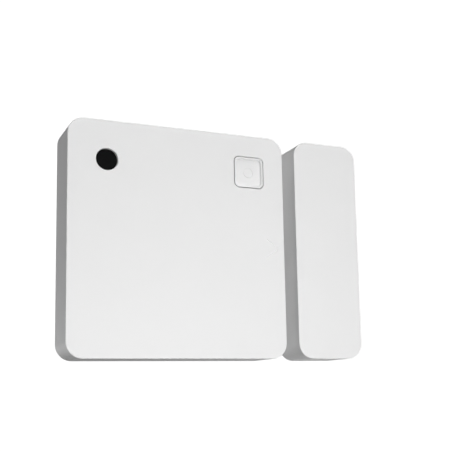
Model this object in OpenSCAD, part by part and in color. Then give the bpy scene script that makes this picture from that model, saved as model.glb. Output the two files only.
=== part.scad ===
// Door contact sensor: a battery-powered sensor unit for the frame and a magnet unit for the door.
// The front faces -Y, +Z is up and +X points from the sensor unit to the magnet unit.
// The origin is the middle of the sensor unit's adhesive face, which lies on the plane y = 0.
// A depth is a distance from that plane towards the front, so a depth d is at y = -d.

/* [Sensor case] */
// Width of the sensor case
body_w = 38; // [37:0.5:42]
// Height of both cases
body_h = 38.7; // [38:0.1:42]
// Depth of both cases without the adhesive pad
case_d = 8; // [8:0.1:9]
// Outer corner radius of both cases
corner_r = 2.7; // [2.2:0.1:3.4]
// Thickness of the side walls
wall_t = 1.3; // [1.1:0.1:1.5]
// Thickness of the front wall
face_t = 1.15; // [1:0.05:1.3]
// Thickness of the rear covers
back_t = 0.9; // [0.8:0.05:1]
// Thickness of the adhesive pads
pad_t = 0.8; // [0.5:0.1:1.2]

/* [Magnet unit] */
// Width of the magnet case
magnet_case_w = 12.5; // [12:0.5:15]
// Free space between the two cases
unit_gap = 2.4; // [1:0.1:6]
// Width of the bar magnet
magnet_w = 5; // [4:0.5:5]
// Height of the bar magnet
magnet_h = 24; // [15:1:26]
// Thickness of the bar magnet
magnet_t = 4; // [3:0.5:4]

/* [Front face] */
// Sideways distance of the window and the button from the middle
face_feature_x = 12.55; // [12:0.05:13]
// Height of the window and the button above the middle
face_feature_z = 12.8; // [12.5:0.1:13]
// Radius of the round window opening
window_r = 1.8; // [1.5:0.1:2]
// How far the window lies behind the front face
window_recess = 0.4; // [0.2:0.1:0.6]
// Side of the square button opening
button_opening = 5.6; // [5:0.1:6]
// Gap around the button cap
button_gap = 0.15; // [0.06:0.01:0.15]
// Corner radius of the button opening
button_r = 1; // [0.5:0.1:1.2]
// Width of the flat rim around the button's dish
dish_rim = 0.3; // [0.3:0.05:0.6]
// Depth of the dish in the button
dish_depth = 0.5; // [0.1:0.05:0.5]
// Travel of the button
button_travel = 0.25; // [0.15:0.05:0.25]
// Distance of the alignment mark's tip from the middle
mark_tip_x = 17.6; // [17:0.01:18]
// Height of the alignment mark's tip above the middle
mark_z = -0.35; // [-1:0.05:1]
// Length of the alignment mark along x
mark_w = 2.06; // [1.5:0.01:2.5]
// Half height of the alignment mark
mark_h = 1.4; // [1:0.1:2]

/* [Coin cell] */
// Radius of the coin cell
cell_r = 10; // [8:0.5:10]
// Thickness of the coin cell
cell_t = 3.2; // [2.5:0.1:3.2]
// Sideways place of the coin cell
cell_x = -2; // [-3:0.1:-1]
// Height of the coin cell above the middle
cell_z = -4; // [-5:0.1:-3]

/* [Circuit board] */
// Thickness of the circuit board
board_t = 0.8; // [0.6:0.1:0.8]
// Gap between the circuit board and the side walls
board_gap = 0.4; // [0.2:0.1:0.6]

/* [Reed switch] */
// Sideways place of the reed switch
reed_x = 14.9; // [14.6:0.1:15.2]
// Radius of the reed switch's glass
glass_r = 0.9; // [0.8:0.05:1]
// Length of the reed switch's glass
glass_l = 10; // [8:0.5:11]

/* [Hidden] */
$fn = 64;

// Overlap that makes cuts and joins clean
eps = 0.05;

// Free space behind the coin cell, and height of the spring contact in front of it
cell_back_gap = 0.25;
spring_h = 0.2;

// Depths, from the adhesive face to the front
cover_y = pad_t + back_t;
face_y = pad_t + case_d;
cavity_y = face_y - face_t;
cell_back_y = cover_y + cell_back_gap;
cell_front_y = cell_back_y + cell_t;
board_back_y = cell_front_y + spring_h;
board_front_y = board_back_y + board_t;

// Inside of the sensor case
cavity_w = body_w - 2 * wall_t;
cavity_h = body_h - 2 * wall_t;
cavity_r = corner_r - wall_t;
cover_gap = 0.1;
stop_r = 2;
board_corner_r = 1;
tape_inset = 2.2;
tape_r = 2;

// Inside and place of the magnet case
magnet_x = body_w / 2 + unit_gap + magnet_case_w / 2;
magnet_cavity_w = magnet_case_w - 2 * wall_t;
magnet_side_gap = 0.35;
bar_x = magnet_x - magnet_cavity_w / 2 + magnet_side_gap + magnet_w / 2;
bar_back_y = cavity_y - magnet_t;
magnet_rib_t = 0.8;
magnet_rib_d = 3.1;
magnet_clear = 0.1;
press_rib_w = magnet_w - 1;
magnet_tape_inset = 0.95;
magnet_tape_r = 1.5;

// Latches of the rear cover
latch_w = 6;
latch_t = 0.7;
latch_clear = 0.2;
latch_top_y = cover_y + 2.7;
barb_out = 0.15;
barb_ramp = 0.1;
barb_land = 0.2;
barb_y = cover_y + 2;
pocket_d = 0.3;
pocket_back_gap = 0.2;
pocket_front_gap = 0.1;
pocket_side_gap = 0.3;

// Notch for prying the front shell off its rear cover
notch_w = 7;
notch_d = 0.75;

// Alignment mark and the ring in the button's dish
mark_line = 0.22;
mark_depth = 0.12;
mark_bend_r = 0.4;
mark_bend_steps = 8;
ring_r = 0.85;
ring_line = 0.16;
ring_depth = 0.06;

// Pegs that hold the circuit board, and their places
peg_base_r = 1.1;
peg_r = 0.5;
peg_hole_r = 0.6;
peg_head_r = 0.9;
peg_head_t = 0.4;
PEGS = [[-15.6, 7], [15.4, -13.5], [7, 14.8], [-15, -14.8]];

// Window lens
lens_clear = 0.03;
lens_flange_r = 2.5;
lens_flange_t = 0.4;

// Button cap and its switch
cap_size = button_opening - 2 * button_gap;
cap_flange = 6.8;
cap_flange_t = 0.32;
cap_flange_gap = 0.03;
cap_flange_y = cavity_y - cap_flange_gap - cap_flange_t;
tact_size = 3.7;
tact_t = 0.6;
plunger_r = 0.9;
plunger_clear = 0.06;
plunger_rise = button_travel;
plunger_top_y = board_front_y + tact_t + plunger_rise;
plunger_t = 0.55;

// Coin cell layers
can_t = 0.25;
can_h = cell_t - 0.15;
cap_r = cell_r - 0.82;
cap_skirt_d = 0.7;
cell_clear = 0.02;

// Cradle and contacts
cradle_in_r = cell_r + 0.15;
cradle_out_r = cell_r + 1.2;
cradle_base_r = cell_r + 1.5;
cradle_base_t = 0.35;
cradle_wall_y = cell_back_y + 0.45;
cradle_arm = 4.5;
cradle_gap_w = 6.4;
contact_w = 5;
contact_t = 0.2;
lip_t = 0.15;
lip_l = 1.2;
foot_x = cell_r + 2;
toe_l = 0.6;
spring_t = 0.1;
spring_size = [12, 4];
spring_r = 1;
spring_dimple_r = 0.6;
spring_dimple_step = 4;

// Reed switch
reed_y = board_back_y + board_t / 2;
reed_slot_w = 2.4;
reed_slot_l = glass_l + 2.6;
reed_bore_r = 0.62;
reed_bore_l = glass_l - 1.6;
glass_end_l = 0.5;
glass_lead_gap = 0.01;
lead_r = 0.2;
lead_end_z = glass_l / 2 + 3.2;
lead_slot_w = 0.5;
lead_slot_h = 2 * lead_end_z + 0.1;
lead_root_z = reed_bore_l / 2 - 0.05;
lead_pad_z = lead_end_z - 0.5;
lead_bend_h = 0.8;
blade_w = 0.9;
blade_t = 0.12;
blade_lap = 0.6;
blade_gap = 0.02;
blade_root_z = reed_bore_l / 2 - 0.1;
solder_r = 0.7;
solder_t = 0.15;

// Small parts on the front of the board: [x, z, width, height, thickness]
RADIO = [0, 5.6, 5, 5, 0.85];
CRYSTALS = [[5.6, 6.6, 3.2, 1.5, 0.8], [-5.4, 4.6, 2, 1.6, 0.6]];
ANTENNA = [-3, 16.2, 6.4, 1.6, 1.1];
TILT = [1.6, -3.4, 2, 2, 0.9];
PASSIVES = concat(
    [for (i = [0:5]) [-4 + 1.6 * i, 1.6, 0.5, 1, 0.35]],
    [for (i = [0:3]) [-3.5 + 1.5 * i, 9.8, 0.5, 1, 0.35]],
    [for (i = [0:2]) [-3 + 1.4 * i, 13.2, 1, 0.5, 0.35]],
    [for (i = [0:1]) [4.4, -2.6 - 1.5 * i, 1, 0.5, 0.5]]
);
LED_SIZE = [1.6, 0.8, 0.6];
LED_UP = 0.95;
LIGHT_SIZE = [2, 1.6, 0.7];
LIGHT_DOWN = 0.7;

// ---- Shared shapes -------------------------------------------------------

// Flat shape with round corners, around the middle
module rounded(w, h, r) {
    union() {
        square([w - 2 * r, h], center = true);
        square([w, h - 2 * r], center = true);
        for (sx = [-1, 1], sz = [-1, 1])
            translate([sx * (w / 2 - r), sz * (h / 2 - r)]) circle(r);
    }
}

// Slab of its flat child, drawn in x and z, from one depth to a larger one
module slab(from_y, to_y) {
    translate([0, -from_y, 0]) rotate([90, 0, 0]) linear_extrude(to_y - from_y) children();
}

// Box-shaped part on the front of the board
module board_part(p) {
    slab(board_front_y, board_front_y + p[4]) translate([p[0], p[1]]) square([p[2], p[3]], center = true);
}

// Outer skin of a case: a tray that is open at the back
module case_tray(w, h) {
    difference() {
        slab(pad_t, face_y) rounded(w, h, corner_r);
        slab(pad_t - eps, cavity_y) rounded(w - 2 * wall_t, h - 2 * wall_t, cavity_r);
    }
}

// Posts in the four corners of a case, which the rear cover rests on
module corner_stops(w, h, r) {
    slab(cover_y, cavity_y + eps) intersection() {
        rounded(w - wall_t, h - wall_t, corner_r - wall_t / 2);
        for (sx = [-1, 1], sz = [-1, 1])
            translate([sx * (w / 2 - wall_t), sz * (h / 2 - wall_t)]) circle(r);
    }
}

// Places a latch or its pocket on each side of a cavity
module on_each_side(w, h) {
    for (side = [0:3])
        rotate([0, 90 * side, 0]) translate([(side % 2 == 0 ? w : h) / 2, 0, 0]) children();
}

// ---- Sensor unit, fixed part ---------------------------------------------

// Latch that stands on the rear cover; x = 0 is the cavity's wall
module latch() {
    root = -latch_clear - latch_t;
    linear_extrude(latch_w, center = true) polygon([
        [root, -cover_y + eps],
        [-latch_clear, -cover_y + eps],
        [-latch_clear, -barb_y + barb_ramp],
        [barb_out - latch_clear, -barb_y],
        [barb_out - latch_clear, -barb_y - barb_land],
        [-latch_clear, -latch_top_y],
        [root, -latch_top_y]
    ]);
}

module rear_cover() {
    color("whitesmoke") union() {
        slab(pad_t, cover_y)
            rounded(cavity_w - 2 * cover_gap, cavity_h - 2 * cover_gap, cavity_r - cover_gap);
        on_each_side(cavity_w, cavity_h) latch();
    }
}

module adhesive_pad() {
    color("gainsboro") slab(0, pad_t)
        rounded(cavity_w - 2 * tape_inset, cavity_h - 2 * tape_inset, tape_r);
}

// ---- Sensor unit, part that comes off ------------------------------------

module board_peg() {
    slab(board_front_y, cavity_y + eps) circle(peg_base_r);
    slab(board_back_y - eps, board_front_y + eps) circle(peg_r);
    slab(board_back_y - peg_head_t, board_back_y) circle(peg_head_r);
}

module latch_pocket() {
    pocket_l = latch_top_y + pocket_front_gap - barb_y + pocket_back_gap;
    translate([-eps, -latch_top_y - pocket_front_gap, -latch_w / 2 - pocket_side_gap])
        cube([pocket_d + eps, pocket_l, latch_w + 2 * pocket_side_gap]);
}

// Groove shaped like a pointing chevron with a round tip, cut into the front
module alignment_mark() {
    slope = atan(mark_h / mark_w);
    turn = 90 - slope;
    turns = [for (i = [0:mark_bend_steps]) turn * (1 - 2 * i / mark_bend_steps)];
    bend = [mark_tip_x - mark_bend_r, mark_z];
    outer = mark_bend_r + mark_line / 2;
    inner = mark_bend_r - mark_line / 2;
    arm_l = mark_w / cos(slope) - mark_bend_r / 2;
    slab(face_y - mark_depth, face_y + eps) polygon(concat(
        [bend + outer * [cos(turn), sin(turn)] + arm_l * [-cos(slope), sin(slope)]],
        [for (a = turns) bend + outer * [cos(a), sin(a)]],
        [bend + outer * [cos(turn), -sin(turn)] + arm_l * [-cos(slope), -sin(slope)]],
        [bend + inner * [cos(turn), -sin(turn)] + arm_l * [-cos(slope), -sin(slope)]],
        [for (a = turns) bend + inner * [cos(a), -sin(a)]],
        [bend + inner * [cos(turn), sin(turn)] + arm_l * [-cos(slope), sin(slope)]]
    ));
}

module front_shell() {
    color("whitesmoke") difference() {
        union() {
            case_tray(body_w, body_h);
            corner_stops(body_w, body_h, stop_r);
            for (p = PEGS) translate([p[0], 0, p[1]]) board_peg();
        }
        slab(cavity_y - eps, face_y + eps) translate([-face_feature_x, face_feature_z]) circle(window_r);
        slab(cavity_y - eps, face_y + eps) translate([face_feature_x, face_feature_z])
            rounded(button_opening, button_opening, button_r);
        on_each_side(cavity_w, cavity_h) latch_pocket();
        slab(pad_t - eps, pad_t + notch_d) translate([0, body_h / 2])
            square([notch_w, 2 * wall_t + 2 * eps], center = true);
        alignment_mark();
    }
}

module button_cap() {
    color("white") translate([face_feature_x, 0, face_feature_z]) difference() {
        union() {
            slab(cap_flange_y, face_y) rounded(cap_size, cap_size, button_r - button_gap);
            slab(cap_flange_y, cap_flange_y + cap_flange_t) rounded(cap_flange, cap_flange, button_r);
            slab(plunger_top_y, cap_flange_y + eps) circle(plunger_r);
        }
        slab(face_y - dish_depth, face_y + eps)
            rounded(cap_size - 2 * dish_rim, cap_size - 2 * dish_rim, button_r - button_gap - dish_rim / 2);
        slab(face_y - dish_depth - ring_depth, face_y) difference() {
            circle(ring_r + ring_line / 2);
            circle(ring_r - ring_line / 2);
        }
    }
}

module light_window() {
    color("black") translate([-face_feature_x, 0, face_feature_z]) {
        slab(cavity_y - lens_flange_t, face_y - window_recess) circle(window_r - lens_clear);
        slab(cavity_y - lens_flange_t, cavity_y) circle(lens_flange_r);
    }
}

module circuit_board() {
    color("seagreen") slab(board_back_y, board_front_y) difference() {
        rounded(cavity_w - 2 * board_gap, cavity_h - 2 * board_gap, board_corner_r);
        for (sx = [-1, 1], sz = [-1, 1])
            translate([sx * cavity_w / 2, sz * cavity_h / 2]) circle(stop_r + board_gap);
        for (p = PEGS) translate(p) circle(peg_hole_r);
        translate([reed_x, 0]) {
            square([reed_slot_w, reed_slot_l], center = true);
            square([lead_slot_w, lead_slot_h], center = true);
        }
    }
}

module radio_chip() {
    color("dimgray") board_part(RADIO);
}

module crystals() {
    color("silver") for (p = CRYSTALS) board_part(p);
}

module chip_antenna() {
    color("ivory") board_part(ANTENNA);
}

module tilt_sensor() {
    color("dimgray") board_part(TILT);
}

module passive_parts() {
    color("tan") for (p = PASSIVES) board_part(p);
}

module status_led() {
    color("white")
        board_part([-face_feature_x, face_feature_z + LED_UP, LED_SIZE[0], LED_SIZE[1], LED_SIZE[2]]);
}

module light_sensor() {
    color("lightgray")
        board_part([-face_feature_x, face_feature_z - LIGHT_DOWN, LIGHT_SIZE[0], LIGHT_SIZE[1], LIGHT_SIZE[2]]);
}

module tact_switch_housing() {
    color("dimgray") translate([face_feature_x, 0, face_feature_z])
        slab(board_front_y, board_front_y + tact_t) difference() {
            square(tact_size, center = true);
            circle(plunger_r + plunger_clear);
        }
}

module tact_switch_plunger() {
    color("ivory") translate([face_feature_x, 0, face_feature_z])
        slab(plunger_top_y - plunger_t, plunger_top_y) circle(plunger_r);
}

// Flat U around the coin cell, open upwards so that the cell can slide out
module cradle_outline(out_r) {
    difference() {
        union() {
            circle(out_r);
            translate([-out_r, 0]) square([2 * out_r, cradle_arm]);
        }
        circle(cradle_in_r);
        translate([-cradle_in_r, 0]) square([2 * cradle_in_r, 2 * out_r]);
        translate([-out_r, cradle_arm]) square([2 * out_r, 2 * out_r]);
    }
}

// Low base and a higher wall with a gap for the positive contact
module battery_cradle() {
    color("dimgray") translate([cell_x, 0, cell_z]) {
        slab(board_back_y - cradle_base_t, board_back_y) cradle_outline(cradle_base_r);
        slab(cradle_wall_y, board_back_y - cradle_base_t + eps) difference() {
            cradle_outline(cradle_out_r);
            translate([cell_r, 0]) square([cell_r / 2, cradle_gap_w], center = true);
        }
    }
}

// Bent strip that touches the rim of the cell and stands on the board; x = 0 is the cell's middle
module positive_contact() {
    shelf_y = board_back_y - cradle_base_t - contact_t;
    color("gold") translate([cell_x, 0, cell_z]) linear_extrude(contact_w, center = true) polygon([
        [cell_r - lip_l, -cell_back_y],
        [cell_r - lip_l, -cell_back_y + lip_t],
        [cell_r + contact_t, -cell_back_y + lip_t],
        [cell_r + contact_t, -shelf_y],
        [foot_x, -shelf_y],
        [foot_x, -board_back_y + lip_t],
        [foot_x + toe_l, -board_back_y + lip_t],
        [foot_x + toe_l, -board_back_y],
        [foot_x - contact_t, -board_back_y],
        [foot_x - contact_t, -shelf_y - contact_t],
        [cell_r, -shelf_y - contact_t],
        [cell_r, -cell_back_y]
    ]);
}

module negative_contact() {
    color("gold") translate([cell_x, 0, cell_z]) {
        slab(board_back_y - spring_t, board_back_y) rounded(spring_size[0], spring_size[1], spring_r);
        for (i = [-1:1])
            slab(cell_front_y, board_back_y - spring_t + eps)
                translate([spring_dimple_step * i, 0]) circle(spring_dimple_r);
    }
}

module cell_can() {
    color("silver") translate([cell_x, 0, cell_z]) difference() {
        slab(cell_back_y, cell_back_y + can_h) circle(cell_r);
        slab(cell_back_y + can_t, cell_front_y) circle(cell_r - can_t);
    }
}

module cell_cap() {
    color("lightgray") translate([cell_x, 0, cell_z]) difference() {
        slab(cell_back_y + cap_skirt_d, cell_front_y) circle(cap_r);
        slab(cell_back_y, cell_front_y - can_t) circle(cap_r - can_t);
    }
}

module cell_seal() {
    color("dimgray") translate([cell_x, 0, cell_z])
        slab(cell_back_y + can_t, cell_back_y + can_h) difference() {
            circle(cell_r - can_t - cell_clear);
            circle(cap_r + cell_clear);
        }
}

module cell_filling() {
    color("gray") translate([cell_x, 0, cell_z])
        slab(cell_back_y + can_t, cell_front_y - can_t) circle(cap_r - can_t - cell_clear);
}

// Glass tube of the reed switch, closed around its two leads
module reed_glass() {
    color("lightgreen") translate([reed_x, -reed_y, 0]) difference() {
        union() {
            cylinder(h = glass_l - 2 * glass_end_l, r = glass_r, center = true);
            for (s = [0, 1]) mirror([0, 0, s]) translate([0, 0, glass_l / 2 - glass_end_l])
                cylinder(h = glass_end_l, r1 = glass_r, r2 = glass_r / 2);
        }
        cylinder(h = reed_bore_l, r = reed_bore_r, center = true);
        cylinder(h = 2 * glass_l, r = lead_r + glass_lead_gap, center = true);
    }
}

// Round lead from inside the glass to its solder pad on the board
module reed_lead() {
    translate([0, 0, lead_root_z]) cylinder(h = lead_end_z - lead_root_z, r = lead_r);
    slab(0, board_t / 2 + solder_t)
        translate([0, lead_pad_z]) square([2 * lead_r, lead_bend_h], center = true);
    slab(board_t / 2, board_t / 2 + solder_t) translate([0, lead_pad_z]) circle(solder_r);
}

module reed_leads() {
    color("silver") translate([reed_x, -reed_y, 0]) {
        reed_lead();
        mirror([0, 0, 1]) {
            reed_lead();
            translate([-blade_w / 2, blade_gap / 2, -blade_lap])
                cube([blade_w, blade_t, reed_bore_l / 2 + blade_lap]);
        }
    }
}

module reed_blade() {
    color("silver") translate([reed_x - blade_w / 2, -reed_y - blade_gap / 2 - blade_t, -blade_lap])
        cube([blade_w, blade_t, blade_root_z + blade_lap]);
}

// ---- Magnet unit ---------------------------------------------------------

module magnet_shell() {
    color("whitesmoke") union() {
        translate([magnet_x, 0, 0]) {
            case_tray(magnet_case_w, body_h);
            corner_stops(magnet_case_w, body_h, stop_r / 2);
        }
        slab(cavity_y - magnet_rib_d, cavity_y + eps) {
            for (s = [-1, 1])
                translate([magnet_x, s * (magnet_h / 2 + magnet_clear + magnet_rib_t / 2)])
                    square([magnet_cavity_w + 2 * eps, magnet_rib_t], center = true);
            translate([bar_x + magnet_w / 2 + magnet_clear, -magnet_h / 2 - 2 * magnet_clear])
                square([magnet_rib_t, magnet_h + 4 * magnet_clear]);
        }
    }
}

module bar_magnet() {
    color("silver") slab(bar_back_y, cavity_y) translate([bar_x, 0])
        square([magnet_w, magnet_h], center = true);
}

// Rear cover with two ribs that press the magnet against the front wall
module magnet_rear_cover() {
    color("whitesmoke") union() {
        translate([magnet_x, 0, 0]) slab(pad_t, cover_y)
            rounded(magnet_cavity_w - 2 * cover_gap, cavity_h - 2 * cover_gap, cavity_r - cover_gap);
        for (s = [-1, 1])
            slab(cover_y - eps, bar_back_y) translate([bar_x, s * magnet_h / 4])
                square([press_rib_w, magnet_rib_t], center = true);
    }
}

module magnet_adhesive_pad() {
    color("gainsboro") translate([magnet_x, 0, 0]) slab(0, pad_t)
        rounded(magnet_cavity_w - 2 * magnet_tape_inset, cavity_h - 2 * tape_inset, magnet_tape_r);
}

// ---- Nodes ---------------------------------------------------------------

front_shell();
button_cap();
light_window();
circuit_board();
radio_chip();
crystals();
chip_antenna();
tilt_sensor();
passive_parts();
status_led();
light_sensor();
tact_switch_housing();
tact_switch_plunger();
battery_cradle();
positive_contact();
negative_contact();
cell_can();
cell_cap();
cell_seal();
cell_filling();
reed_glass();
reed_leads();
reed_blade();
rear_cover();
adhesive_pad();
magnet_shell();
bar_magnet();
magnet_rear_cover();
magnet_adhesive_pad();
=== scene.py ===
import math

import bmesh
import bpy
from mathutils import Matrix, Vector


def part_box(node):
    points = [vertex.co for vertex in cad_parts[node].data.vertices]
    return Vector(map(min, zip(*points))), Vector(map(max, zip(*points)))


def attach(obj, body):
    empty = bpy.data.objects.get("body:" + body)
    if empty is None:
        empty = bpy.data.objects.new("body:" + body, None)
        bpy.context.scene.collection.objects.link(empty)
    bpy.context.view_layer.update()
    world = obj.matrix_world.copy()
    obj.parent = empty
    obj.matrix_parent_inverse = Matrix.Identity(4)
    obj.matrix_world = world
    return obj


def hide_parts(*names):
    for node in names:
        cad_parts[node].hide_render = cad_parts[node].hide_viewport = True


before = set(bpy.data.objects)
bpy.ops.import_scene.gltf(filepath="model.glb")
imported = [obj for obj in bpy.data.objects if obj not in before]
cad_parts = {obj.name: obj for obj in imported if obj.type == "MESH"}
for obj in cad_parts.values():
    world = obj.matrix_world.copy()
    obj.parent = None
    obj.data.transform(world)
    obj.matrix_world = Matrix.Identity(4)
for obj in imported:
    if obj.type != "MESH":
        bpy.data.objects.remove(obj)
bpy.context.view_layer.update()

# Meshes are built in millimetres. A depth is measured from the adhesive faces towards the front, so
# y = -depth. PAST is how far a cutter sticks out of what it cuts.
MM = 0.001
CORNER_STEPS = 12
EDGE_STEPS = 4
DISC_STEPS = 56
SHARP_DEG = 32
PAST = 1
CORNERS = ((-1, -1), (-1, 1), (1, -1), (1, 1))


# ---- Places, from the CAD frame ---------------------------------------------

def box_mm(node):
    lo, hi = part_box(node)
    return lo / MM, hi / MM


def depths(node):
    """Depth of a node's back and of its front."""
    lo, hi = box_mm(node)
    return -hi.y, -lo.y


def middle(node):
    """Middle of a node seen from the front, as (x, z)."""
    lo, hi = box_mm(node)
    return (lo.x + hi.x) / 2, (lo.z + hi.z) / 2


def size(node):
    """Width and height of a node seen from the front."""
    lo, hi = box_mm(node)
    return hi.x - lo.x, hi.z - lo.z


def solid_boxes(node):
    """(lowest, highest) corner of each separate solid of a node, from left to right."""
    bm = bmesh.new()
    bm.from_mesh(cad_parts[node].data)
    bmesh.ops.remove_doubles(bm, verts=bm.verts, dist=1e-6)
    left, boxes = set(bm.verts), []
    while left:
        island, edge = set(), [left.pop()]
        while edge:
            vert = edge.pop()
            island.add(vert)
            near = {e.other_vert(vert) for e in vert.link_edges} & left
            left -= near
            edge.extend(near)
        points = [v.co / MM for v in island]
        low = Vector([min(p[i] for p in points) for i in range(3)])
        high = Vector([max(p[i] for p in points) for i in range(3)])
        boxes.append((low, high))
    bm.free()
    return sorted(boxes, key=lambda b: (round(b[0].x, 3), round(b[0].z, 3)))


# Sizes shared by both cases. COVER is the depth of the rear covers' inner faces, and CAVITY that of
# the front walls' inner faces.
CORNER_R = 2.7
WALL = 1.3
FRONT_T = 1.15
COVER_T = 0.9
CASE_W, CASE_H = size("front_shell")
REAR, FACE = depths("front_shell")
COVER = depths("rear_cover")[0] + COVER_T
CAVITY = FACE - FRONT_T
BOARD_BACK, BOARD_FRONT = depths("circuit_board")


# ---- Mesh tools -------------------------------------------------------------

def rounded(w, h, r, least=0.02, shrink=1.0):
    """Outline of a rectangle with round corners, as a function of how far it is inset."""
    def outline(inset):
        radius = max(r - inset * shrink, least)
        points = []
        for k, (sx, sz) in enumerate(((1, 1), (-1, 1), (-1, -1), (1, -1))):
            for i in range(CORNER_STEPS + 1):
                a = math.radians(90 * (k + i / CORNER_STEPS))
                x = sx * (w / 2 - inset - radius) + radius * math.cos(a)
                z = sz * (h / 2 - inset - radius) + radius * math.sin(a)
                points.append((x, z))
        return points
    return outline


def full_turn(steps):
    """Evenly spaced angles all the way round."""
    return [2 * math.pi * i / steps for i in range(steps)]


def disc(r, steps=DISC_STEPS):
    """Outline of a circle, as a function of how far it is inset."""
    def outline(inset):
        return [((r - inset) * math.cos(a), (r - inset) * math.sin(a)) for a in full_turn(steps)]
    return outline


def edges(back, front, back_r, front_r):
    """(inset, depth) levels of a slab whose back and front edges are rounded."""
    levels = []
    for i in range(EDGE_STEPS + 1 if back_r else 1):
        a = math.radians(90 * i / EDGE_STEPS)
        levels.append((back_r * (1 - math.sin(a)), back + back_r * (1 - math.cos(a))))
    for i in range(EDGE_STEPS + 1 if front_r else 1):
        a = math.radians(90 * i / EDGE_STEPS)
        levels.append((front_r * (1 - math.cos(a)), front - front_r * (1 - math.sin(a))))
    return levels


def skin(bm, rings):
    """Closes a mesh over its rings of vertices, with a flat face at each end."""
    for a, b in zip(rings, rings[1:]):
        for i in range(len(a)):
            j = (i + 1) % len(a)
            bm.faces.new((a[i], a[j], b[j], b[i]))
    bm.faces.new(rings[0])
    bm.faces.new(rings[-1])
    bmesh.ops.recalc_face_normals(bm, faces=bm.faces)
    return bm


def loft(outline, levels, centre):
    """Closed mesh through the outline at each (inset, depth) level."""
    bm = bmesh.new()
    rings = []
    for inset, depth in levels:
        points = outline(inset)
        rings.append([bm.verts.new((centre[0] + x, -depth, centre[1] + z)) for x, z in points])
    return skin(bm, rings)


def lathe(profile, centre, steps=DISC_STEPS):
    """Closed mesh of a (radius, depth) profile turned about the depth axis."""
    return loft(disc(0, steps), [(-r, d) for r, d in profile], centre)


def ring(profile, centre, steps=DISC_STEPS):
    """Closed ring of a closed (radius, depth) profile turned about the depth axis."""
    bm = bmesh.new()
    sections = [[bm.verts.new((centre[0] + r * math.cos(a), -d, centre[1] + r * math.sin(a)))
                 for r, d in profile] for a in full_turn(steps)]
    for i, a in enumerate(sections):
        b = sections[(i + 1) % steps]
        for j in range(len(profile)):
            k = (j + 1) % len(profile)
            bm.faces.new((a[j], a[k], b[k], b[j]))
    bmesh.ops.recalc_face_normals(bm, faces=bm.faces)
    return bm


def block(lo, hi):
    """Plain box between two corners, in millimetres, ready to be softened."""
    bm = bmesh.new()
    bmesh.ops.create_cube(bm, size=1)
    for v in bm.verts:
        v.co = Vector([lo[i] + (v.co[i] + 0.5) * (hi[i] - lo[i]) for i in range(3)])
    return bm


def extrude(points, low, high, place):
    """Closed prism of a flat polygon. place(u, v, t) is the point above (u, v) at height t."""
    bm = bmesh.new()
    return skin(bm, [[bm.verts.new(place(u, v, t)) for u, v in points] for t in (low, high)])


def soften(bm, width, segments=2, angle=30):
    """Rounds every sharp edge of a mesh."""
    limit = math.radians(angle)
    sharp = [e for e in bm.edges if len(e.link_faces) == 2 and e.calc_face_angle() > limit]
    bmesh.ops.bevel(bm, geom=sharp, offset=width, segments=segments, profile=0.5,
                    affect="EDGES", clamp_overlap=True)
    return bm


def join(*parts):
    """One mesh of several separate closed ones."""
    whole = bmesh.new()
    for part in parts:
        data = bpy.data.meshes.new("part")
        part.to_mesh(data)
        part.free()
        whole.from_mesh(data)
        bpy.data.meshes.remove(data)
    return whole


def combine(target, tool, operation):
    """Boolean of two closed meshes. Both are used up."""
    objects = []
    for bm in (target, tool):
        data = bpy.data.meshes.new("temporary")
        bm.to_mesh(data)
        bm.free()
        objects.append(bpy.data.objects.new("temporary", data))
        bpy.context.scene.collection.objects.link(objects[-1])
    modifier = objects[0].modifiers.new("boolean", "BOOLEAN")
    modifier.operation, modifier.object, modifier.solver = operation, objects[1], "EXACT"
    evaluated = objects[0].evaluated_get(bpy.context.evaluated_depsgraph_get())
    result = bmesh.new()
    result.from_mesh(evaluated.to_mesh())
    evaluated.to_mesh_clear()
    for o in objects:
        data = o.data
        bpy.data.objects.remove(o)
        bpy.data.meshes.remove(data)
    return result


# ---- Materials --------------------------------------------------------------

# Most values of a noise texture lie between these.
NOISE_SPAN = (0.3, 0.7)


def add(tree, kind, inputs=None):
    """New shader node with its unlinked inputs set."""
    made = tree.nodes.new("ShaderNode" + kind)
    for key, value in (inputs or {}).items():
        made.inputs[key].default_value = value
    return made


def noise(tree, where, feature_mm, detail):
    made = add(tree, "TexNoise", {"Scale": 1 / (feature_mm * MM), "Detail": detail,
                                  "Roughness": 0.55})
    tree.links.new(where, made.inputs["Vector"])
    return made.outputs[0]


def ramp(tree, factor, dark, light):
    made = add(tree, "ValToRGB")
    for element, place, colour in zip(made.color_ramp.elements, NOISE_SPAN, (dark, light)):
        element.position = place
        element.color = (*colour, 1)
    tree.links.new(factor, made.inputs["Fac"])
    return made.outputs["Color"]


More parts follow.
